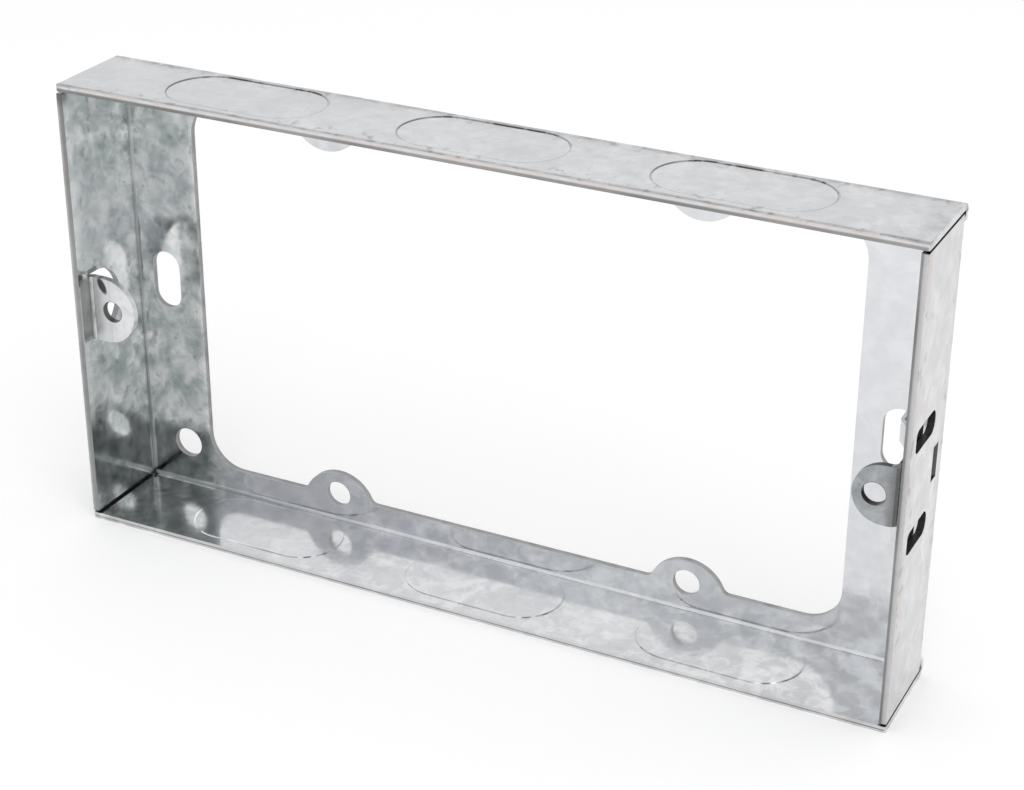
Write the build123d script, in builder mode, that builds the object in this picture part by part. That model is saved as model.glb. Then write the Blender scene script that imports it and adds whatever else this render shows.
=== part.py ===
from build123d import *
import os

# Shallow two-gang extension box, folded from one sheet of galvanised steel, with one lug that slides.
# X runs along the long walls, Y from the open front rim to the back flange, Z up.
# The origin is under the middle of the box, on the face that it stands on.

# Overall size, outside to outside
width = 130.0
height = 71.4
depth = 16.4

# Sheet, folds and corner seams
sheet = 1.0
bend_inside = 0.6
seam_gap = 0.35
relief_gap = 0.3
corner_radius = 0.3

# Window in the back flange, with the strip of flange that stays on each side
long_strip = 5.0
short_strip = 12.2
window_radius = 5.6

# Rounded ears on the long strips, each with a fixing hole
ear_spacing = 58.6
ear_radius = 6.1
ear_centre_inset = 3.1
ear_flare = 1.2
ear_hole_inset = 5.5
ear_hole_diameter = 4.2

# Upright slots in the short strips and the one round hole near the bottom left corner
slot_inset = 6.0
slot_width = 4.9
slot_length = 9.4
slot_rise = 0.3
wire_hole_diameter = 4.9
wire_hole_inset = 8.0
wire_hole_height = 8.0

# Threaded lugs for the front plate, with their holes set in from the sides
thread_inset = 4.7
lug_drop = 0.4
thread_diameter = 3.3

# Lug struck out of the left wall, and the D-shaped opening that it leaves
struck_lug_height = 10.4
struck_lug_setback = 2.8
struck_lug_reach = 8.6
struck_clearance = 0.35
struck_opening_end = 10.0

# Sliding lug inside the right wall: a plate with its front edge folded in and an arm up and down
sliding_lug_height = 8.7
sliding_lug_setback = 1.0
sliding_lug_reach = 7.7
sliding_lug_end = 10.8
arm_front = 5.9
arm_width = 3.0
arm_length = 6.8
arm_corner = 0.8
running_gap = 0.1

# Slots in the right wall, above and below the lug, each with a hook struck inwards over an arm
hook_spacing = 15.0
hook_drop = 0.1
hook_slot_start = 1.7
hook_slot_length = 8.5
hook_slot_height = 3.5
hook_slot_radius = 1.5
hook_bend_start = 2.2
hook_bend_end = 5.3
hook_end = 9.4
hook_corner = 1.0
lance_gap = 0.2

# Stop struck inwards behind the sliding lug
stop_front = 10.8
stop_tip = 11.2
stop_root = 12.9
stop_depth = 1.1
stop_height = 4.8
stop_rise = 0.2

# Part-sheared knockouts in the long walls, each slug pushed a little into the box
knockout_count = 3
knockout_pitch = 37.7
knockout_length = 25.0
knockout_width = 12.4
knockout_centre = 8.1
knockout_step = 0.12

# Sizes and planes that follow from those above; a middle is the middle of the sheet's thickness
front = -depth / 2
back = depth / 2
right = width / 2
left = -width / 2
bend_outside = bend_inside + sheet
bend_middle = bend_inside + sheet / 2
fold_run = bend_outside + sheet
left_middle = left + sheet / 2
right_middle = right - sheet / 2
back_middle = back - sheet / 2
window_width = width - 2 * short_strip
window_height = height - 2 * long_strip
slot_spacing = width - 2 * slot_inset
fixing_centres = width - 2 * thread_inset
lug_level = height / 2 - lug_drop
short_wall_start = sheet + seam_gap
short_fold_start = bend_outside + relief_gap
struck_lug_face = front + struck_lug_setback
struck_lug_middle = struck_lug_face + sheet / 2
struck_fold_start = struck_lug_face + sheet - bend_outside
sliding_lug_face = front + sliding_lug_setback
sliding_lug_middle = sliding_lug_face + sheet / 2
plate_outside = right - sheet - running_gap
plate_middle = plate_outside - sheet / 2
hook_middle = plate_middle - running_gap - sheet
hook_height = hook_slot_height - 2 * lance_gap
mid_height = Plane.XY.offset(height / 2)
lug_plane = Plane.XY.offset(lug_level)
back_face = Plane.XZ.offset(-back)


def folded(plane, span, *points):
    """Sheet folded along the middle of its thickness, from point to point, and centred on the plane."""
    with BuildPart() as piece:
        with BuildSketch(plane):
            with BuildLine():
                FilletPolyline(*points, radius=bend_middle)
            trace(line_width=sheet)
        extrude(amount=span / 2, both=True)
    return piece.part


def knockout_slugs(plane):
    """Outlines of the row of knockouts in a long wall."""
    with BuildSketch(plane) as slugs:
        with Locations((0, front + knockout_centre)):
            with GridLocations(knockout_pitch, 0, knockout_count, 1):
                SlotOverall(knockout_length, knockout_width)
    return slugs.sketch


def tongue(plane, root, end, level, tongue_height):
    """D-shaped tongue from root to end: two straight edges and a half-round end."""
    end_radius = tongue_height / 2
    towards = 1 if end > root else -1
    end_centre = end - towards * end_radius
    with BuildSketch(plane) as outline:
        with Locations(((root + end_centre) / 2, level)):
            Rectangle(abs(end_centre - root), tongue_height)
        with Locations((end_centre, level)):
            Circle(end_radius)
    return outline.sketch


def thread_hole(x, y):
    """Outline of a lug's screw hole, facing the front."""
    with BuildSketch(Plane.XZ.offset(-y)) as outline:
        with Locations((x, lug_level)):
            Circle(thread_diameter / 2)
    return outline.sketch


# Bottom wall: flat sheet that turns up into the flange through one fold
with BuildPart() as long_wall:
    fold = folded(
        Plane.YZ,
        width,
        (front, sheet / 2),
        (back_middle, sheet / 2),
        (back_middle, fold_run),
    )
    add(fold)
    fillet(long_wall.edges().filter_by(Axis.Z).group_by(Axis.Y)[0], corner_radius)
    # Each slug is sheared part of the way through and stands proud inside
    extrude(knockout_slugs(Plane.XY), amount=knockout_step, mode=Mode.SUBTRACT)
    extrude(knockout_slugs(Plane.XY.offset(sheet)), amount=knockout_step)

# Left wall: it stops short of the long walls, which cap it, and its fold is relieved at both ends
with BuildPart() as short_wall:
    fold = folded(
        mid_height,
        height - 2 * short_wall_start,
        (left_middle, front),
        (left_middle, back_middle),
        (left + fold_run, back_middle),
    )
    add(fold)
    with BuildSketch(Plane.YZ.offset(left)):
        for fold_end in (short_fold_start, height - short_fold_start):
            with Locations((back - bend_outside / 2, fold_end)):
                away = Align.MAX if fold_end < height / 2 else Align.MIN
                Rectangle(bend_outside, bend_outside, align=(Align.CENTER, away))
    extrude(amount=fold_run, mode=Mode.SUBTRACT)

# Window: rounded corners, and a bite for each ear whose foot flares into the strip
with BuildSketch(back_face) as window:
    with Locations((0, height / 2)):
        RectangleRounded(window_width, window_height, window_radius)
        with GridLocations(ear_spacing, height - 2 * ear_centre_inset, 2, 2):
            Circle(ear_radius, mode=Mode.SUBTRACT)
        fillet(window.vertices(Select.LAST), ear_flare)

# Back flange, flat between the four folds
with BuildSketch(back_face) as flange_face:
    with Locations((0, height / 2)):
        Rectangle(width - 2 * bend_outside, height - 2 * bend_outside)
    add(window.sketch, mode=Mode.SUBTRACT)
    with Locations((0, height / 2)):
        with GridLocations(ear_spacing, height - 2 * ear_hole_inset, 2, 2):
            Circle(ear_hole_diameter / 2, mode=Mode.SUBTRACT)
    with Locations((0, height / 2 + slot_rise)):
        with GridLocations(slot_spacing, 0, 2, 1):
            SlotOverall(slot_length, slot_width, rotation=90, mode=Mode.SUBTRACT)
    with Locations((left + wire_hole_inset, wire_hole_height)):
        Circle(wire_hole_diameter / 2, mode=Mode.SUBTRACT)

# Struck lug: the wall in front of it, its fold and the tongue, cut to a D
with BuildPart() as struck_lug:
    fold = folded(
        lug_plane,
        struck_lug_height,
        (left_middle, front),
        (left_middle, struck_lug_middle),
        (left + struck_lug_reach, struck_lug_middle),
    )
    add(fold)
    d_shape = tongue(Plane.XZ.offset(-front), left, left + struck_lug_reach, lug_level, struck_lug_height)
    extrude(d_shape, amount=-depth, mode=Mode.INTERSECT)

# Hook: leaves the wall at the front of its slot and runs back inside, clear of the lug's arm
with BuildPart() as hook:
    fold = folded(
        Plane.XY,
        hook_height,
        (right_middle, front + sheet),
        (right_middle, front + hook_bend_start),
        (hook_middle, front + hook_bend_end),
        (hook_middle, front + hook_end),
    )
    add(fold)
    fillet(hook.edges().filter_by(Axis.X).group_by(Axis.Y)[-1], hook_corner)

# Stop: a flap of the wall that is hinged at its back edge
stop = folded(
    Plane.XY,
    stop_height,
    (right_middle, front + stop_root + sheet),
    (right_middle, front + stop_root),
    (right_middle - stop_depth, front + stop_tip),
)

# Openings that the hooks and the stop leave in the right wall
with BuildSketch(Plane.YZ.offset(right)) as right_openings:
    with Locations((front + hook_slot_start + hook_slot_length / 2, height / 2 - hook_drop)):
        with GridLocations(0, hook_spacing, 1, 2):
            RectangleRounded(hook_slot_length, hook_slot_height, hook_slot_radius)
    with Locations((front + stop_front, height / 2 + stop_rise)):
        Rectangle(stop_root - stop_front, stop_height + 2 * lance_gap, align=(Align.MIN, Align.CENTER))

with BuildPart() as extension_box:
    extrude(flange_face.sketch, amount=sheet)
    add(long_wall.part)
    add(short_wall.part)
    mirror(long_wall.part, about=mid_height)
    mirror(short_wall.part, about=Plane.YZ)
    # D-shaped opening behind the fold of the struck lug
    opening = tongue(
        Plane.YZ.offset(left),
        struck_fold_start,
        front + struck_opening_end,
        lug_level,
        struck_lug_height + 2 * struck_clearance,
    )
    extrude(opening, amount=sheet, mode=Mode.SUBTRACT)
    add(struck_lug.part)
    extrude(right_openings.sketch, amount=-sheet, mode=Mode.SUBTRACT)
    with Locations((0, 0, height / 2 - hook_drop)):
        with Locations((0, 0, -hook_spacing / 2), (0, 0, hook_spacing / 2)):
            add(hook.part)
    with Locations((0, 0, height / 2 + stop_rise)):
        add(stop)
    extrude(thread_hole(-fixing_centres / 2, struck_lug_face + sheet), amount=sheet, mode=Mode.SUBTRACT)
extension_box.part.label = "extension_box"

# Sliding lug: plate, fold and tongue cut to a D, with the arms that run behind the hooks
with BuildPart() as adjustable_lug:
    fold = folded(
        lug_plane,
        sliding_lug_height,
        (plate_middle, front + sliding_lug_end),
        (plate_middle, sliding_lug_middle),
        (right - sliding_lug_reach, sliding_lug_middle),
    )
    add(fold)
    d_shape = tongue(Plane.XZ.offset(-front), right, right - sliding_lug_reach, lug_level, sliding_lug_height)
    extrude(d_shape, amount=-depth, mode=Mode.INTERSECT)
    with BuildSketch(Plane.YZ.offset(plate_outside)):
        with Locations((front + arm_front + arm_width / 2, lug_level)):
            RectangleRounded(arm_width, sliding_lug_height + 2 * arm_length, arm_corner)
    extrude(amount=-sheet)
    extrude(thread_hole(fixing_centres / 2, sliding_lug_face + sheet), amount=sheet, mode=Mode.SUBTRACT)
adjustable_lug.part.label = "adjustable_lug"

os.makedirs("parts", exist_ok=True)
export_step(extension_box.part, "parts/extension_box.step")
export_step(adjustable_lug.part, "parts/adjustable_lug.step")
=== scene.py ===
import math

import bpy
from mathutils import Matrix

# The box, in metres; its object coordinates have their origin under its middle
MM = 0.001
HALF_WIDTH = 65.0 * MM
HEIGHT = 71.4 * MM
HALF_HEIGHT = HEIGHT / 2
HALF_DEPTH = 8.2 * MM
SHEET = 1.0 * MM
FOLD = 1.6 * MM

# Inner faces of the left wall and of the flange
LEFT_FACE = -HALF_WIDTH + SHEET
FLANGE_FACE = HALF_DEPTH - SHEET

# Margins: off a face, and over a knockout that stands proud of its wall
SKIN = 0.03 * MM
PROUD = 0.2 * MM

# Both lugs, their bores, and how far from mid-height the side walls are cut
LUG_LEVEL = 35.3 * MM
LUG_HOLE = 60.3 * MM
BORE_RADIUS = 1.72 * MM
LUG_ZONE = 12.0 * MM

# Lug struck from the left wall, with a little room round it, and its opening
STRUCK_LUG_FACE = -HALF_DEPTH + 2.8 * MM
STRUCK_LUG_FRONT = -5.9 * MM
STRUCK_LUG_BACK = -3.6 * MM
STRUCK_LUG_HALF_HEIGHT = 5.9 * MM
STRUCK_LUG_REACH = 8.7 * MM
STRUCK_LUG_MIDDLE = -60.5 * MM
STRUCK_LUG_TIP = -56.0 * MM
STRUCK_OPENING_FRONT = -3.4 * MM

# Sliding lug: its face, and the sides of its plate
SLIDING_LUG_FACE = -HALF_DEPTH + 1.0 * MM
SLIDING_PLATE_OUTSIDE = HALF_WIDTH - 1.1 * MM
SLIDING_PLATE_INSIDE = HALF_WIDTH - 2.1 * MM

# Hooks and stop of the right wall, from mid-height and along the wall
HOOK_NEAR = 5.0 * MM
HOOK_FAR = 10.0 * MM
HOOK_FRONT = -6.3 * MM
HOOK_BACK = 6.0 * MM
HOOK_MIDDLE = 62.3 * MM
HOOK_SLOPE = 0.71
HOOK_SLOPE_START = 60.24 * MM
STOP_FRONT = 2.5 * MM
STOP_BACK = 4.9 * MM
STOP_INSIDE = 2.5 * MM
STOP_HALF_HEIGHT = 3.0 * MM

# Knockouts of the long walls
KNOCKOUT_PITCH = 37.7 * MM
KNOCKOUT_RADIUS = 6.2 * MM
KNOCKOUT_STRAIGHT = 6.3 * MM
KNOCKOUT_MIDDLE = -0.1 * MM

# Painted shade of a nick on the left lug's face: its middle, its half-sizes and its slant
NICK_X = -61.9 * MM
NICK_Z = 39.3 * MM
NICK_HALF_WIDTH = 0.75 * MM
NICK_HALF_HEIGHT = 1.4 * MM
NICK_SLANT = 0.7

# Levels of the left wall's paler patch, and of the painted shadow at the foot beside the left lug
PALE_LEVEL = 47.0 * MM
FOOT_SHADOW_LEVEL = 31.1 * MM

# Zinc in its tones, from dull to worn bright; the worn tone also paints highlights
ZINC_DULL = (0.50, 0.52, 0.54)
ZINC_PLAIN = (0.655, 0.665, 0.685)
ZINC_BRIGHT = (0.725, 0.73, 0.745)
ZINC_NEW = (0.74, 0.75, 0.77)
ZINC_WORN_AND_HIGHLIGHT = (0.93, 0.94, 0.95)

# Patina of the left end, which also paints its darker reflections, stains, grime and dark cut edges, which
# also serve as painted shade, painted shade of the creases, and the sliding lug's steel
DARK_PATINA_AND_REFLECTION = (0.42, 0.46, 0.46)
PALE_PATINA_AND_REFLECTION = (0.75, 0.76, 0.755)
STAIN_CREAM = (0.52, 0.47, 0.45)
STAIN_GREY = (0.40, 0.385, 0.37)
STAIN_SMEAR = (0.47, 0.465, 0.47)
GRIME_AND_SHADE = (0.16, 0.155, 0.15)
DARK_CUT_AND_SHADE = (0.06, 0.055, 0.05)
CUT_GREY = (0.20, 0.198, 0.194)
CUT_WARM = (0.68, 0.615, 0.59)
CREASE_SHADE = (0.155, 0.165, 0.165)
STEEL_DARK = (0.25, 0.27, 0.285)
STEEL_PALE = (0.38, 0.395, 0.41)

# How strong a coat is, of 1, where one number says it; the seam, slot, hook, corner and before-lug shares are
# of painted shade
SEAM_SHADE_SHARE = 0.86
BORE_SHARE = 0.9
RIGHT_SLOT_SHADE_SHARE = 0.95
HOOK_SHADE_SHARE = 0.88
STRUCK_CUT_SHARE = 0.62
SLIDING_CUT_SHARE = 0.85
CORNER_SHADE_SHARE = 0.85
LUG_SHADE_SHARE = 0.66
BOTTOM_BURNISH_SHARE = 0.7
FLANGE_PATINA_SHARE = 0.86

# Patterns, in patches to the metre, and what is left of the streaks' scale along the sheet
CLOUD_SCALE = 75.0
PATCH_SCALE = 260.0
MOTTLE_SCALE = 330.0
STEEL_MOTTLE_SCALE = 420.0
SPANGLE_SCALE = 520.0
SPECK_SCALE = 560.0
STREAK_SCALE = 900.0
GRAIN_SCALE = 1900.0
STREAK_STRETCH = 0.12

# Roughness of zinc, the change that its crystals make, and raw metal; then relief
ZINC_ROUGHNESS = (0.09, 0.17)
CRYSTAL_ROUGHNESS = (-0.015, 0.03)
RAW_ROUGHNESS = 0.45
LUG_RAWNESS = 0.8
WAVE_DEPTH = 0.012 * MM
PIT_DEPTH = 0.004 * MM

# Studio: floor and world, and flags with their blue cast and the shares of their width where they fade
WHITE = (1.0, 1.0, 1.0)
PAPER_DARK = (0.89, 0.89, 0.89)
PAPER_PALE = (0.91, 0.91, 0.91)
PAPER_SCALE = 40.0
FLOOR_SIZE = 6.0
FLOOR_GLOW = 0.05
SKY_STRENGTH = 0.86
FLAG_DISTANCE = 0.80
FLAG_BLUE = 1.03
FLAG_SOLID = 0.30
FLAG_EDGE = 0.50

# Camera of the photograph
CAMERA_PLACE = (0.13263, -0.25627, 0.17685)
CAMERA_TURN = (63.444, -0.188, 26.661)
CAMERA_LENS = 79.42
CAMERA_SENSOR = 36.0


class Nodes:
    """Node tree, with short calls for the sums, masks and patterns that a finish is made of."""

    def __init__(self, tree):
        self.tree = tree

    def add(self, kind, **settings):
        """New node with its settings made."""
        node = self.tree.nodes.new(kind)
        for name, value in settings.items():
            setattr(node, name, value)
        return node

    def feed(self, socket, value):
        """Joins a node's output to a socket, or writes a value there."""
        if isinstance(value, bpy.types.NodeSocket):
            self.tree.links.new(value, socket)
        else:
            socket.default_value = value

    def calc(self, operation, *values):
        """Result of one Math node."""
        node = self.add("ShaderNodeMath", operation=operation)
        for socket, value in zip(node.inputs, values):
            self.feed(socket, value)
        return node.outputs[0]

    def over(self, value, limit):
        """Mask of the values over a limit."""
        return self.calc("GREATER_THAN", value, limit)

    def under(self, value, limit):
        """Mask of the values under a limit."""
        return self.calc("LESS_THAN", value, limit)

    def all_of(self, *masks):
        """Product of masks: 1 where every mask is."""
        total = masks[0]
        for mask in masks[1:]:
            total = self.calc("MULTIPLY", total, mask)
        return total

    def any_of(self, *masks):
        """Largest of the masks: 1 where one mask is."""
        total = masks[0]
        for mask in masks[1:]:
            total = self.calc("MAXIMUM", total, mask)
        return total

    def between(self, value, low, high):
        """Mask of the values from low to high."""
        return self.all_of(self.over(value, low), self.under(value, high))

    def off_centre(self, value, centre):
        """Distance of a value from a centre, on either side."""
        return self.calc("ABSOLUTE", self.calc("SUBTRACT", value, centre))

    def squared(self, along, aside):
        """Squared length of a line, from its two parts."""
        return self.calc("ADD", self.calc("MULTIPLY", along, along), self.calc("MULTIPLY", aside, aside))

    def spread(self, value, low, high, to_low, to_high):
        """Value taken from one range into another, held at its ends."""
        node = self.add("ShaderNodeMapRange", clamp=True)
        for socket, number in zip(node.inputs, (value, low, high, to_low, to_high)):
            self.feed(socket, number)
        return node.outputs["Result"]

    def blend(self, share, first, second):
        """Colour that runs from first to second with the share."""
        node = self.add("ShaderNodeMix", data_type="RGBA")
        self.feed(node.inputs["Factor"], share)
        for socket, colour in ((node.inputs[6], first), (node.inputs[7], second)):
            self.feed(socket, (*colour, 1.0) if isinstance(colour, tuple) else colour)
        return node.outputs[2]

    def object_place(self):
        """Place on the object."""
        return self.add("ShaderNodeTexCoord").outputs["Object"]

    def axes_of(self, place):
        """The three coordinates of a place."""
        axes = self.add("ShaderNodeSeparateXYZ")
        self.feed(axes.inputs["Vector"], place)
        return axes.outputs

    def noise(self, place, scale, detail=2.0, roughness=0.5, distortion=0.0):
        """Cloudy pattern, with scale in patches to the metre."""
        node = self.add("ShaderNodeTexNoise")
        self.feed(node.inputs["Vector"], place)
        self.feed(node.inputs["Scale"], scale)
        self.feed(node.inputs["Detail"], detail)
        self.feed(node.inputs["Roughness"], roughness)
        self.feed(node.inputs["Distortion"], distortion)
        return node.outputs["Fac"]

    def crystals(self, place, scale):
        """Zinc spangle: a grey level for each crystal, with scale in crystals to the metre."""
        node = self.add("ShaderNodeTexVoronoi", feature="F1")
        self.feed(node.inputs["Vector"], place)
        self.feed(node.inputs["Scale"], scale)
        parts = self.add("ShaderNodeSeparateColor")
        self.feed(parts.inputs["Color"], node.outputs["Color"])
        return parts.outputs["Red"]

    def bump(self, height, strength, depth):
        """Surface relief of a depth in metres."""
        node = self.add("ShaderNodeBump")
        self.feed(node.inputs["Height"], height)
        node.inputs["Strength"].default_value = strength
        node.inputs["Distance"].default_value = depth
        return node

    def seen_directly(self):
        """Mask of the rays that come straight from the camera or from a mirror."""
        path = self.add("ShaderNodeLightPath")
        kinds = ("Is Camera Ray", "Is Glossy Ray", "Is Transmission Ray")
        return self.any_of(*(path.outputs[kind] for kind in kinds))


class Galvanised(Nodes):
    """Zinc-coated sheet, clouded, spangled and nearly a mirror, with coats of finish laid over it."""

    def __init__(self, name):
        self.material = bpy.data.materials.new(name)
        self.material.use_nodes = True
        super().__init__(self.material.node_tree)
        self.tree.nodes.clear()
        self.place = self.object_place()
        self.x, self.y, self.z = self.axes_of(self.place)
        self.clouds = self.noise(self.place, CLOUD_SCALE, detail=3.0, roughness=0.55, distortion=0.4)
        self.patches = self.noise(self.place, PATCH_SCALE, detail=4.0, roughness=0.6, distortion=0.8)
        self.specks = self.noise(self.place, SPECK_SCALE)
        self.spangle = self.crystals(self.place, SPANGLE_SCALE)
        self.colour = self.blend(self.spread(self.clouds, 0.35, 0.65, 0.0, 1.0), ZINC_PLAIN, ZINC_BRIGHT)
        self.coat_zinc()
        self.shade(self.coat_piece())

    def coat(self, finish, *shares):
        """Lays a finish over the colour so far, as much as the product of the shares says."""
        self.colour = self.blend(self.all_of(*shares), self.colour, finish)

    def coat_zinc(self):
        """Dull patches, spangle, specks, and streaks along the sheet."""
        stretched = self.add("ShaderNodeMapping")
        self.feed(stretched.inputs["Vector"], self.place)
        stretched.inputs["Scale"].default_value = (STREAK_STRETCH, 1.0, 1.0)
        streaks = self.noise(stretched.outputs["Vector"], STREAK_SCALE, detail=3.0, roughness=0.7)
        self.coat(ZINC_DULL, self.spread(self.patches, 0.36, 0.62, 0.0, 0.34))
        self.coat(ZINC_DULL, self.spread(self.spangle, 0.0, 1.0, 0.0, 0.26))
        self.coat(ZINC_DULL, self.spread(self.specks, 0.56, 0.68, 0.0, 0.30))
        self.coat(ZINC_DULL, self.spread(streaks, 0.66, 0.74, 0.0, 0.28))

    def shade(self, raw):
        """Metal in the finished colour, rough where it is raw, with slight waves and pits."""
        shader = self.add("ShaderNodeBsdfPrincipled")
        shader.inputs["Metallic"].default_value = 1.0
        self.feed(shader.inputs["Base Color"], self.colour)
        patchy = self.spread(self.patches, 0.35, 0.65, *ZINC_ROUGHNESS)
        crystalline = self.spread(self.spangle, 0.0, 1.0, *CRYSTAL_ROUGHNESS)
        zinc_roughness = self.calc("ADD", patchy, crystalline)
        roughness = self.any_of(zinc_roughness, self.all_of(raw, RAW_ROUGHNESS))
        self.feed(shader.inputs["Roughness"], roughness)
        grain = self.noise(self.place, GRAIN_SCALE, detail=3.0)
        waves = self.bump(self.patches, strength=1.0, depth=WAVE_DEPTH)
        pits = self.bump(grain, strength=0.5, depth=PIT_DEPTH)
        self.tree.links.new(waves.outputs["Normal"], pits.inputs["Normal"])
        self.tree.links.new(pits.outputs["Normal"], shader.inputs["Normal"])
        output = self.add("ShaderNodeOutputMaterial")
        self.tree.links.new(shader.outputs["BSDF"], output.inputs["Surface"])

    def lug_bore(self, centre):
        """Mask of the bore through a lug."""
        aside = self.calc("SUBTRACT", self.x, centre)
        above = self.calc("SUBTRACT", self.z, LUG_LEVEL)
        return self.under(self.calc("SQRT", self.squared(aside, above)), BORE_RADIUS)


class BoxSheet(Galvanised):
    """The box: duller left end that also paints darker reflections, newer right end, stains, knockout lines
    and cut edges, with painted shade and highlights in its folds, seams, slots, corner and round the left
    lug.
    """

    def coat_piece(self):
        """Lays all coats of the box, and returns the mask of its raw places."""
        self.across = self.calc("ABSOLUTE", self.x)
        self.rise = self.calc("SUBTRACT", self.z, HALF_HEIGHT)
        self.away = self.calc("ABSOLUTE", self.rise)
        self.mottle = self.noise(self.place, MOTTLE_SCALE, detail=4.0, roughness=0.60, distortion=0.5)
        self.on_top = self.over(self.rise, HALF_HEIGHT - PROUD)
        self.on_bottom = self.under(self.rise, -HALF_HEIGHT + SHEET + PROUD)
        self.on_flange = self.over(self.y, FLANGE_FACE - SKIN)
        self.on_right_outside = self.over(self.x, HALF_WIDTH - SKIN)
        self.on_rim = self.under(self.y, -HALF_DEPTH + SKIN)
        self.near_lugs = self.under(self.away, LUG_ZONE)
        near_front = self.spread(self.y, -HALF_DEPTH, -4.2 * MM, 1.0, 0.0)
        self.near_back = self.spread(self.y, 4.0 * MM, 7.4 * MM, 0.0, 1.0)
        self.near_long_edges = self.any_of(near_front, self.near_back)

        self.coat_flange()
        self.coat_bottom()
        self.coat_left_end()
        self.coat_right_outside()
        self.coat_top()
        self.coat_knockout_lines()
        creases = self.coat_folds()
        self.coat_rim()
        cuts = self.coat_cuts()
        self.coat_top_left_corner()
        lug_places = self.coat_left_lug()
        dull_creases = self.all_of(creases, self.spread(self.x, -40.0 * MM, 10.0 * MM, 0.8, 0.3))
        return self.any_of(cuts, self.on_rim, dull_creases, self.all_of(lug_places, LUG_RAWNESS))

    def coat_flange(self):
        """Flange: newer zinc towards the right, with mottle and faint specks."""
        newer = self.spread(self.x, -46.0 * MM, 26.0 * MM, 0.20, 0.95)
        self.coat(ZINC_NEW, self.on_flange, newer)
        mottled = self.spread(self.patches, 0.40, 0.58, 0.0, 0.34)
        less_on_right = self.spread(self.x, 5.0 * MM, 30.0 * MM, 1.0, 0.6)
        self.coat(ZINC_DULL, self.on_flange, mottled, less_on_right)
        self.coat(ZINC_DULL, self.on_flange, self.spread(self.specks, 0.40, 0.60, 0.0, 0.10))

    def coat_bottom(self):
        """Bottom wall: smears towards the right, and burnished patches, also on the flange above it."""
        smears = self.spread(self.mottle, 0.42, 0.58, 0.0, 0.42)
        more_on_right = self.spread(self.x, 20.0 * MM, 52.0 * MM, 0.12, 1.0)
        self.coat(STAIN_SMEAR, self.on_bottom, smears, more_on_right)
        low_strip = self.all_of(self.on_flange, self.spread(self.z, 12.0 * MM, 16.0 * MM, 1.0, 0.0))
        low_places = self.any_of(low_strip, self.all_of(self.on_bottom, BOTTOM_BURNISH_SHARE))
        burnished = self.spread(self.mottle, 0.40, 0.54, 0.42, 0.0)
        off_left_end = self.spread(self.x, -42.0 * MM, -24.0 * MM, 0.0, 1.0)
        self.coat(ZINC_WORN_AND_HIGHLIGHT, low_places, burnished, off_left_end)

    def coat_left_end(self):
        """Left end, all but its top: patina in two tones that also paints the darker reflections there, paler
        half-way up, with grime specks and painted shade in its low corner.
        """
        under_top = self.calc("SUBTRACT", 1.0, self.on_top)
        at_left_end = self.spread(self.x, -52.0 * MM, -47.0 * MM, 0.88, 0.0)
        off_lug = self.any_of(
            self.over(self.y, -3.5 * MM),
            self.under(self.x, LEFT_FACE + 0.6 * MM),
            self.over(self.away, 6.0 * MM),
        )
        less_on_lug = self.spread(off_lug, 0.0, 1.0, 0.10, 1.0)
        paler_patch = self.spread(self.off_centre(self.z, PALE_LEVEL), 2.0 * MM, 12.0 * MM, 0.50, 1.0)
        paler = self.any_of(paler_patch, self.all_of(self.on_flange, FLANGE_PATINA_SHARE))
        dulled = self.all_of(under_top, at_left_end, less_on_lug, paler)
        # Patina in two tones, which also paints the darker reflections that the left end shows
        patina_and_dark_reflection = self.blend(self.spread(self.mottle, 0.38, 0.62, 0.0, 1.0), DARK_PATINA_AND_REFLECTION, PALE_PATINA_AND_REFLECTION)
        self.coat(patina_and_dark_reflection, dulled)
        self.coat(GRIME_AND_SHADE, dulled, self.spread(self.specks, 0.60, 0.70, 0.0, 0.42))
        # Painted shade in the low corner of the flange at the left end
        low_corner_shade = self.spread(self.z, 7.0 * MM, 12.0 * MM, 0.26, 0.0)
        self.coat(GRIME_AND_SHADE, dulled, self.on_flange, low_corner_shade)
        behind_rim = self.spread(self.y, -7.9 * MM, -5.6 * MM, 0.62, 0.0)
        self.coat(DARK_PATINA_AND_REFLECTION, dulled, behind_rim, self.under(self.x, LEFT_FACE + SKIN))

    def coat_right_outside(self):
        """Right wall's outside: cream stains, most along its long edges."""
        stained = self.spread(self.clouds, 0.38, 0.56, 0.15, 0.95)
        self.coat(STAIN_CREAM, self.on_right_outside, self.near_long_edges, stained)
        self.coat(STAIN_CREAM, self.on_right_outside, self.spread(self.patches, 0.40, 0.60, 0.0, 0.35))

    def coat_top(self):
        """Top: grey smudges at its back and right end, cloudy middle, and its front arris and back fold
        darker.
        """
        near_end = self.spread(self.x, 59.0 * MM, 64.6 * MM, 0.0, 0.9)
        smudges = self.spread(self.patches, 0.38, 0.58, 0.10, 0.72)
        self.coat(STAIN_GREY, self.on_top, self.any_of(self.near_back, near_end), smudges)
        self.coat(ZINC_DULL, self.on_top, self.spread(self.mottle, 0.44, 0.60, 0.0, 0.32))
        self.coat(ZINC_DULL, self.on_top, self.spread(self.x, -50.0 * MM, -12.0 * MM, 0.22, 0.0))
        spotted = self.any_of(self.on_top, self.on_right_outside)
        self.coat(GRIME_AND_SHADE, spotted, self.near_long_edges, self.spread(self.specks, 0.58, 0.68, 0.0, 0.70))
        front_arris = self.spread(self.y, -7.8 * MM, -7.2 * MM, 1.0, 0.0)
        self.coat(GRIME_AND_SHADE, self.on_top, front_arris, self.spread(self.patches, 0.38, 0.58, 0.32, 0.62))
        on_fold = self.over(self.rise, HALF_HEIGHT - SHEET)
        back_of_fold = self.spread(self.y, 5.6 * MM, 7.2 * MM, 0.0, 1.0)
        self.coat(GRIME_AND_SHADE, on_fold, back_of_fold, self.spread(self.patches, 0.38, 0.56, 0.08, 0.62))

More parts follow.
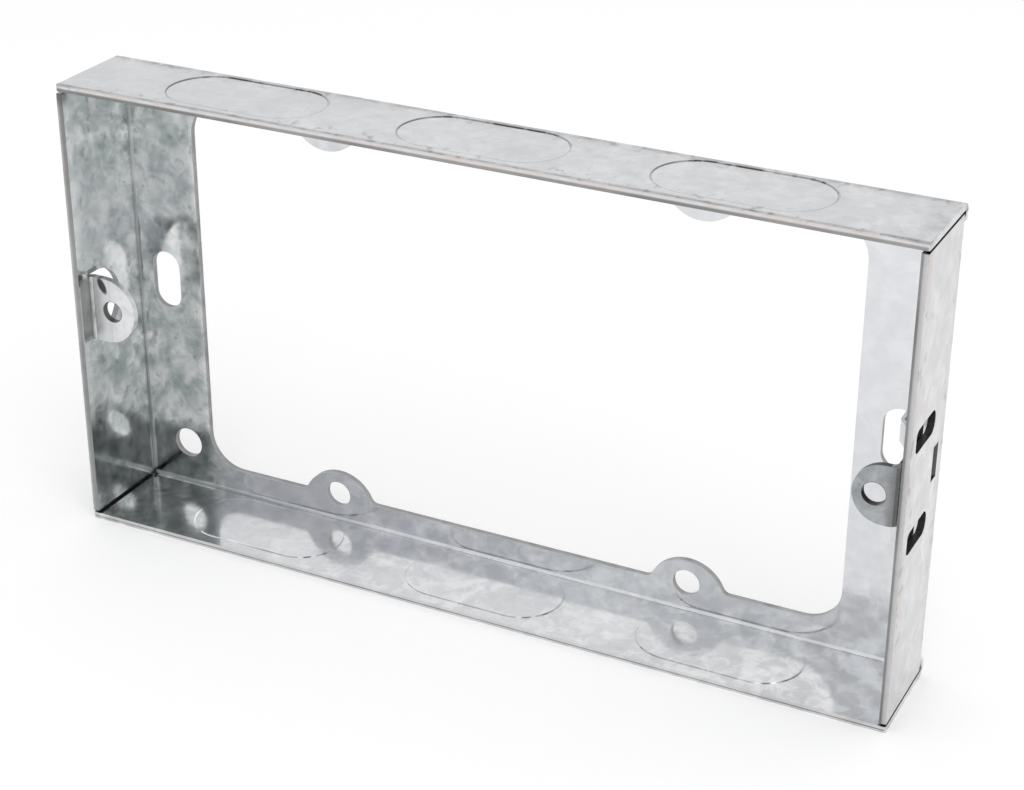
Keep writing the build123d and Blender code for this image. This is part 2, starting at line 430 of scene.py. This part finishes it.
    def knockout_distance(self):
        """Distance from the nearest knockout's outline, less than nothing inside it."""
        along = self.calc("MINIMUM", self.across, self.off_centre(self.across, KNOCKOUT_PITCH))
        past = self.calc("MAXIMUM", self.calc("SUBTRACT", along, KNOCKOUT_STRAIGHT), 0.0)
        aside = self.calc("SUBTRACT", self.y, KNOCKOUT_MIDDLE)
        return self.calc("SUBTRACT", self.calc("SQRT", self.squared(past, aside)), KNOCKOUT_RADIUS)

    def coat_knockout_lines(self):
        """Ragged lines of painted shade round the knockouts, a painted highlight on them at the bottom's
        left, and painted shadow in dashes at the top's back.
        """
        gap = self.knockout_distance()
        in_long_wall = self.over(self.away, HALF_HEIGHT - SHEET - PROUD)
        ragged = self.spread(self.patches, 0.40, 0.60, 0.07 * MM, 0.24 * MM)
        on_line = self.all_of(in_long_wall, self.under(self.calc("ABSOLUTE", gap), ragged))
        broken = self.spread(self.patches, 0.40, 0.62, 0.62, 0.30)
        more_on_top = self.spread(self.on_top, 0.0, 1.0, 0.40, 1.0)
        fading_back = self.spread(self.y, 3.0 * MM, 5.4 * MM, 1.0, 0.12)
        pale_front = self.any_of(self.on_top, self.spread(self.y, -5.0 * MM, -1.5 * MM, 0.0, 1.0))
        # Painted shade in the knockouts' shear lines, ragged and broken
        self.coat(GRIME_AND_SHADE, on_line, broken, more_on_top, fading_back, pale_front)
        # Painted highlight on the lines in the bottom at the left
        highlight_left = self.spread(self.x, -40.0 * MM, -34.0 * MM, 0.85, 0.0)
        self.coat(ZINC_WORN_AND_HIGHLIGHT, on_line, self.on_bottom, highlight_left)
        # Painted shadow of the knockout steps in dashes at the top's back
        step_shadow_band = self.between(gap, -0.28 * MM, 0.14 * MM)
        at_back = self.over(self.y, 5.4 * MM)
        step_shadow_dashes = self.spread(self.patches, 0.50, 0.54, 0.0, 0.75)
        self.coat(GRIME_AND_SHADE, self.on_top, step_shadow_band, at_back, step_shadow_dashes)

    def crease(self, from_wall, from_flange):
        """Mask of the middle of a fold's hollow side."""
        depth = self.any_of(from_wall, from_flange)
        inside = self.over(self.calc("MINIMUM", from_wall, from_flange), -SKIN)
        return self.all_of(inside, self.spread(depth, 0.30 * MM, 0.60 * MM, 1.0, 0.0))

    def coat_folds(self):
        """Painted shade in the creases inside the folds and in the seams at the corners; returns the creases'
        mask.
        """
        from_flange = self.calc("SUBTRACT", FLANGE_FACE, self.y)
        side_crease = self.crease(self.calc("SUBTRACT", self.x, LEFT_FACE), from_flange)
        cloudy = self.spread(self.clouds, 0.42, 0.58, 0.62, 0.82)
        over_foot = self.spread(self.z, 22.0 * MM, 30.0 * MM, 1.0, 0.92)
        high_up = self.spread(self.z, 46.0 * MM, 54.0 * MM, 1.0, 0.84)
        # Painted shade in the hollows of the side and long folds
        self.coat(CREASE_SHADE, side_crease, cloudy, over_foot, high_up)
        long_crease = self.crease(self.calc("SUBTRACT", HALF_HEIGHT - SHEET, self.away), from_flange)
        self.coat(CREASE_SHADE, long_crease, self.spread(self.x, -54.0 * MM, -14.0 * MM, 0.72, 0.0))
        # Painted shade in the seams where the long walls meet the side walls
        in_seam_shade = self.between(self.away, HALF_HEIGHT - SHEET - 0.48 * MM, HALF_HEIGHT - SHEET + SKIN)
        at_side_wall = self.over(self.across, HALF_WIDTH - SHEET - 0.16 * MM)
        self.coat(DARK_CUT_AND_SHADE, in_seam_shade, at_side_wall, SEAM_SHADE_SHARE)
        return self.any_of(side_crease, long_crease)

    def rim_profile(self):
        """Mask of the rim's dark part: where in the sheet's thickness it broke off, wall by wall."""
        top_break = self.spread(self.rise, HALF_HEIGHT - 0.62 * SHEET, HALF_HEIGHT - 0.38 * SHEET, 1.0, 0.0)
        top = self.all_of(self.over(self.rise, HALF_HEIGHT - SHEET - SKIN), top_break)
        bottom = self.between(self.rise, -HALF_HEIGHT + 0.34 * SHEET, -HALF_HEIGHT + 0.52 * SHEET)
        in_side_wall = self.under(self.away, HALF_HEIGHT - SHEET)
        left_break = self.spread(self.x, -HALF_WIDTH + 0.10 * SHEET, -HALF_WIDTH + 0.50 * SHEET, 0.40, 1.0)
        left = self.all_of(self.under(self.x, 0.0), in_side_wall, left_break)
        right_step = HALF_WIDTH - 0.56 * SHEET
        right_inner = self.spread(self.x, HALF_WIDTH - 0.72 * SHEET, right_step, 0.60, 0.0)
        right_outer = self.spread(self.x, right_step, HALF_WIDTH, 0.50, 0.16)
        right_break = self.calc("ADD", right_inner, right_outer)
        right = self.all_of(self.over(self.x, 0.0), in_side_wall, right_break)
        return self.any_of(top, bottom, left, right)

    def coat_rim(self):
        """Front rim: warm and burnished, with its broken part dark."""
        wander = self.spread(self.patches, 0.38, 0.60, 0.0, 1.0)
        warm_zinc = self.blend(wander, CUT_WARM, ZINC_BRIGHT)
        less_on_left = self.spread(self.x, -64.0 * MM, -60.0 * MM, 0.35, 0.8)
        less_on_right = self.spread(self.x, 60.0 * MM, 64.0 * MM, 1.0, 0.4)
        less_at_foot = self.spread(self.z, 20.0 * MM, 50.0 * MM, 0.35, 1.0)
        self.coat(warm_zinc, self.on_rim, less_on_left, less_on_right, less_at_foot)
        uneven = self.spread(self.clouds, 0.30, 0.62, 0.95, 0.70)
        self.coat(CUT_GREY, self.on_rim, self.rim_profile(), uneven)

    def flange_cuts(self):
        """Mask of the cut edges of the window, the ears and the flange's holes."""
        in_flange = self.between(self.y, FLANGE_FACE + SKIN, HALF_DEPTH - SKIN)
        paler_front = self.spread(self.y, HALF_DEPTH - 0.75 * SHEET, HALF_DEPTH - 0.35 * SHEET, 0.88, 1.0)
        off_side_folds = self.under(self.across, HALF_WIDTH - FOLD - SKIN)
        off_long_folds = self.under(self.away, HALF_HEIGHT - FOLD - SKIN)
        return self.all_of(in_flange, paler_front, off_side_folds, off_long_folds)

    def left_cuts(self):
        """Mask of the cut edges of the left wall's opening and of the lug struck from it."""
        in_wall = self.between(self.x, -HALF_WIDTH + SKIN, LEFT_FACE - SKIN)
        off_folds = self.between(self.y, STRUCK_OPENING_FRONT, HALF_DEPTH - FOLD - SKIN)
        wall_cut = self.all_of(in_wall, off_folds, self.near_lugs)
        in_lug = self.between(self.y, STRUCK_LUG_FACE + SKIN, STRUCK_LUG_FACE + SHEET - SKIN)
        off_bend = self.between(self.x, -HALF_WIDTH + FOLD, -HALF_WIDTH + STRUCK_LUG_REACH)
        lug_cut = self.all_of(in_lug, off_bend, self.near_lugs, STRUCK_CUT_SHARE)
        return self.any_of(wall_cut, lug_cut)

    def right_slot_shade(self):
        """Mask of the right wall's slots painted dark as shade: the cut edges of its openings, and its hooks'
        and stop's outer sides.
        """
        in_wall = self.between(self.x, HALF_WIDTH - SHEET + SKIN, HALF_WIDTH - SKIN)
        off_rim = self.between(self.y, -HALF_DEPTH + SKIN, HALF_DEPTH - FOLD - SKIN)
        wall_cut = self.all_of(in_wall, off_rim, self.near_lugs)
        slope = self.calc("SUBTRACT", HOOK_SLOPE_START, self.calc("MULTIPLY", self.y, HOOK_SLOPE))
        hook_middle = self.calc("MAXIMUM", HOOK_MIDDLE, slope)
        outside_hook = self.between(self.x, hook_middle, HALF_WIDTH - SKIN)
        along_hook = self.between(self.y, HOOK_FRONT, HOOK_BACK)
        beside_hook = self.between(self.away, HOOK_NEAR, HOOK_FAR)
        hook = self.all_of(outside_hook, along_hook, beside_hook)
        inside_wall = self.between(self.x, HALF_WIDTH - STOP_INSIDE, HALF_WIDTH - SKIN)
        along_stop = self.between(self.y, STOP_FRONT, STOP_BACK)
        beside_stop = self.under(self.away, STOP_HALF_HEIGHT)
        paler_root = self.spread(self.y, 3.7 * MM, 4.5 * MM, 1.0, 0.40)
        stop = self.all_of(inside_wall, along_stop, beside_stop, paler_root)
        return self.any_of(wall_cut, self.all_of(self.any_of(hook, stop), HOOK_SHADE_SHARE))

    def coat_cuts(self):
        """Grey cut edges, and the right wall's slots painted dark as shade; returns their mask."""
        thin_cuts = self.any_of(self.flange_cuts(), self.left_cuts())
        right_slot_shade = self.right_slot_shade()
        self.coat(CUT_GREY, thin_cuts, self.spread(self.patches, 0.34, 0.62, 0.90, 0.66))
        # The right wall's slots, and the hooks and stop seen through them, painted dark as shade
        self.coat(DARK_CUT_AND_SHADE, right_slot_shade, RIGHT_SLOT_SHADE_SHARE)
        return self.any_of(thin_cuts, right_slot_shade)

    def coat_top_left_corner(self):
        """Painted shade in the top left corner, behind the rim."""
        below_top = self.spread(self.z, HEIGHT - 3.6 * MM, HEIGHT - 2.2 * MM, 0.0, 1.0)
        under_sheet = self.under(self.z, HEIGHT - SHEET)
        inside_wall = self.over(self.x, -HALF_WIDTH + SKIN)
        near_wall = self.spread(self.x, LEFT_FACE, LEFT_FACE + 0.6 * MM, 1.0, 0.0)
        near_rim = self.spread(self.y, -7.6 * MM, -6.2 * MM, 1.0, 0.0)
        self.coat(GRIME_AND_SHADE, below_top, under_sheet, inside_wall, near_wall, near_rim, CORNER_SHADE_SHARE)

    def nick_shade(self):
        """Mask of the painted shade of a nick, slanting, above the left lug's bore."""
        along = self.calc("DIVIDE", self.calc("SUBTRACT", self.x, NICK_X), NICK_HALF_WIDTH)
        up = self.calc("DIVIDE", self.calc("SUBTRACT", self.z, NICK_Z), NICK_HALF_HEIGHT)
        slanted = self.calc("ADD", along, self.calc("MULTIPLY", up, NICK_SLANT))
        return self.spread(self.squared(slanted, up), 0.5, 1.1, 0.95, 0.0)

    def coat_left_lug(self):
        """Left lug and the wall before it: face lighter near its bend as a painted highlight, paler in
        patches over its tip, dark bore, painted shade at the bend, of the nick, before the lug and at its
        foot; returns their mask.
        """
        on_lug = self.all_of(
            self.between(self.y, STRUCK_LUG_FRONT, STRUCK_LUG_BACK),
            self.under(self.away, STRUCK_LUG_HALF_HEIGHT),
            self.over(self.x, -HALF_WIDTH + SKIN),
        )
        # Painted highlight on the lug's face near its bend
        highlight_by_bend = self.between(self.x, LEFT_FACE + 0.55 * MM, STRUCK_LUG_MIDDLE)
        self.coat(ZINC_WORN_AND_HIGHLIGHT, on_lug, highlight_by_bend, self.spread(self.x, -62.8 * MM, -60.6 * MM, 0.95, 0.0))
        face_tip = self.between(self.x, STRUCK_LUG_MIDDLE, STRUCK_LUG_TIP)
        self.coat(ZINC_WORN_AND_HIGHLIGHT, on_lug, face_tip, self.spread(self.mottle, 0.42, 0.58, 0.46, 0.10))
        self.coat(DARK_CUT_AND_SHADE, self.lug_bore(-LUG_HOLE), self.under(self.y, 0.0), BORE_SHARE)
        # Painted shade where the lug meets the wall
        shade_at_wall = self.spread(self.x, LEFT_FACE, LEFT_FACE + 0.5 * MM, 0.75, 0.0)
        self.coat(GRIME_AND_SHADE, on_lug, self.under(self.x, 0.0), shade_at_wall)
        # Painted shade of the nick on the lug's face
        self.coat(DARK_CUT_AND_SHADE, on_lug, self.over(self.x, -63.3 * MM), self.nick_shade())
        # Painted shade on the wall strip in front of the lug
        lug_shade_strip = self.all_of(
            self.between(self.x, LEFT_FACE - 0.5 * SHEET, LEFT_FACE + SKIN),
            self.between(self.y, -8.0 * MM, -4.4 * MM),
            self.spread(self.away, 4.6 * MM, 5.6 * MM, 1.0, 0.0),
        )
        self.coat(GRIME_AND_SHADE, lug_shade_strip, LUG_SHADE_SHARE)
        # Painted shadow at the foot of the strip before the lug
        foot_shadow = self.spread(self.off_centre(self.z, FOOT_SHADOW_LEVEL), 0.4 * MM, 1.5 * MM, 0.7, 0.0)
        self.coat(GRIME_AND_SHADE, lug_shade_strip, foot_shadow)
        lug_face = self.all_of(on_lug, self.between(self.x, -63.4 * MM, STRUCK_LUG_TIP))
        return self.any_of(lug_face, lug_shade_strip)


class LugSteel(Galvanised):
    """The sliding lug: plain dull steel, with dark cut edges and painted shade in its bend."""

    def coat_piece(self):
        """Lays all coats of the lug, and returns the mask of its raw places."""
        mottle = self.noise(self.place, STEEL_MOTTLE_SCALE, detail=4.0, roughness=0.6, distortion=0.9)
        steel = self.blend(self.spread(mottle, 0.36, 0.64, 0.0, 1.0), STEEL_DARK, STEEL_PALE)
        from_face = self.calc("SUBTRACT", self.y, SLIDING_LUG_FACE)
        less_behind = self.spread(from_face, 0.3 * SHEET, 0.8 * SHEET, 0.9, 0.35)
        self.coat(steel, less_behind)
        self.coat(GRIME_AND_SHADE, self.spread(self.specks, 0.64, 0.72, 0.0, 0.45))
        # Painted shade in the lug's bend
        bend_shade = self.spread(self.x, SLIDING_PLATE_INSIDE - 1.1 * MM, SLIDING_PLATE_INSIDE, 0.0, 0.75)
        self.coat(GRIME_AND_SHADE, bend_shade)
        cuts = self.cuts()
        self.coat(DARK_CUT_AND_SHADE, cuts, SLIDING_CUT_SHARE)
        self.coat(DARK_CUT_AND_SHADE, self.lug_bore(LUG_HOLE), BORE_SHARE)
        return cuts

    def cuts(self):
        """Mask of the cut edges of the lug's tongue and of its plate."""
        in_tongue = self.between(self.y, SLIDING_LUG_FACE + 0.15 * SHEET, SLIDING_LUG_FACE + SHEET - SKIN)
        off_fold = self.under(self.x, HALF_WIDTH - SHEET - FOLD - 0.1 * MM)
        in_plate = self.between(self.x, SLIDING_PLATE_INSIDE + SKIN, SLIDING_PLATE_OUTSIDE - SKIN)
        behind_fold = self.over(self.y, SLIDING_LUG_FACE + FOLD + SKIN)
        return self.any_of(self.all_of(in_tongue, off_fold), self.all_of(in_plate, behind_fold))


def pale_floor():
    """Pale floor that shows white to the camera and in reflections, and keeps the object's shadow."""
    material = bpy.data.materials.new("floor_pale")
    material.use_nodes = True
    paint = Nodes(material.node_tree)
    shader = paint.tree.nodes["Principled BSDF"]
    grain = paint.spread(paint.noise(paint.object_place(), PAPER_SCALE), 0.3, 0.7, 0.0, 1.0)
    paper = paint.blend(grain, PAPER_DARK, PAPER_PALE)
    seen = paint.seen_directly()
    paint.feed(shader.inputs["Base Color"], paint.blend(seen, paper, WHITE))
    paint.feed(shader.inputs["Emission Color"], (*WHITE, 1.0))
    paint.feed(shader.inputs["Emission Strength"], paint.all_of(seen, FLOOR_GLOW))
    shader.inputs["Roughness"].default_value = 0.9
    shader.inputs["Specular IOR Level"].default_value = 0.0
    return material


def add_floor():
    """Floor under the object."""
    bpy.ops.object.select_all(action="DESELECT")
    bpy.ops.mesh.primitive_plane_add(size=FLOOR_SIZE, location=(0.0, 0.0, 0.0))
    floor = bpy.context.object
    floor.name = "floor"
    floor.data.materials.append(pale_floor())


def add_soft_light(name, place, target, size, power):
    """Square soft box turned towards a point."""
    lamp = bpy.data.lights.new(name, "AREA")
    lamp.size = size
    lamp.energy = power
    holder = bpy.data.objects.new(name, lamp)
    bpy.context.collection.objects.link(holder)
    holder.location = place
    aim = [there - here for there, here in zip(target, place)]
    flat = math.hypot(aim[0], aim[1])
    holder.rotation_euler = (math.atan2(flat, -aim[2]), 0.0, math.atan2(-aim[0], aim[1]))


def soft_flag(name, tone):
    """Grey of a studio card whose edges fade out."""
    material = bpy.data.materials.new(name)
    material.use_nodes = True
    paint = Nodes(material.node_tree)
    paint.tree.nodes.clear()
    glow = paint.add("ShaderNodeEmission")
    glow.inputs["Color"].default_value = (tone, tone, tone * FLAG_BLUE, 1.0)
    clear = paint.add("ShaderNodeBsdfTransparent")
    mix = paint.add("ShaderNodeMixShader")
    x, y, _ = paint.axes_of(paint.object_place())
    from_middle = paint.any_of(paint.calc("ABSOLUTE", x), paint.calc("ABSOLUTE", y))
    paint.feed(mix.inputs[0], paint.spread(from_middle, FLAG_SOLID, FLAG_EDGE, 1.0, 0.0))
    paint.feed(mix.inputs[1], clear.outputs[0])
    paint.feed(mix.inputs[2], glow.outputs[0])
    output = paint.add("ShaderNodeOutputMaterial")
    paint.feed(output.inputs["Surface"], mix.outputs[0])
    return material


def add_flag(name, azimuth, elevation, width, height, tone):
    """Card that only the metal sees, standing off the object in one direction."""
    turn, tilt = math.radians(azimuth), math.radians(elevation)
    flat = FLAG_DISTANCE * math.cos(tilt)
    bpy.ops.object.select_all(action="DESELECT")
    bpy.ops.mesh.primitive_plane_add(size=1.0)
    flag = bpy.context.object
    flag.name = name
    flag.location = (flat * math.sin(turn), -flat * math.cos(turn), FLAG_DISTANCE * math.sin(tilt))
    flag.rotation_euler = (math.radians(90.0) - tilt, 0.0, turn)
    flag.scale = (width, height, 1.0)
    flag.data.materials.append(soft_flag(name, tone))
    flag.visible_camera = False
    flag.visible_diffuse = False
    flag.visible_shadow = False


def light_room():
    """Even white room, white itself to the camera, with a soft box and two grey cards."""
    world = bpy.data.worlds.new("studio")
    bpy.context.scene.world = world
    world.use_nodes = True
    paint = Nodes(world.node_tree)
    sky = paint.tree.nodes["Background"]
    sky.inputs["Color"].default_value = (*WHITE, 1.0)
    paint.feed(sky.inputs["Strength"], paint.spread(paint.seen_directly(), 0.0, 1.0, SKY_STRENGTH, 1.0))
    add_soft_light("key_soft_box", place=(0.35, -0.45, 0.75), target=(0.0, 0.0, 0.03), size=0.8, power=1.9)
    add_flag("flag_by_camera", azimuth=38.0, elevation=30.0, width=0.34, height=0.34, tone=0.32)
    add_flag("flag_front_left", azimuth=-42.0, elevation=30.0, width=0.40, height=0.34, tone=0.76)


def add_camera():
    """Camera at the photograph's place and angle."""
    lens = bpy.data.cameras.new("photo_camera")
    lens.lens = CAMERA_LENS
    lens.sensor_width = CAMERA_SENSOR
    lens.sensor_fit = "HORIZONTAL"
    lens.clip_start = 0.01
    camera = bpy.data.objects.new("photo_camera", lens)
    bpy.context.collection.objects.link(camera)
    camera.location = CAMERA_PLACE
    camera.rotation_euler = [math.radians(angle) for angle in CAMERA_TURN]
    bpy.context.scene.camera = camera


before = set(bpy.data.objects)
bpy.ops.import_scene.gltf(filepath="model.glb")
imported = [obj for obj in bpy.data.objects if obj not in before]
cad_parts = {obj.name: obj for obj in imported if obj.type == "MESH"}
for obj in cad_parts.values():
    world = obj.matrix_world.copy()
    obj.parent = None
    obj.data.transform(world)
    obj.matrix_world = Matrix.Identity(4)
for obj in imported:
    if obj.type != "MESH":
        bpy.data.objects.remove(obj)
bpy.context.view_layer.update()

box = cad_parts["extension_box"]
box.material_slots[0].material = BoxSheet("galvanised_sheet").material
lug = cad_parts["adjustable_lug"]
lug.material_slots[0].material = LugSteel("dull_steel_lug").material

add_floor()
light_room()
add_camera()
bpy.context.scene.view_settings.view_transform = "Standard"
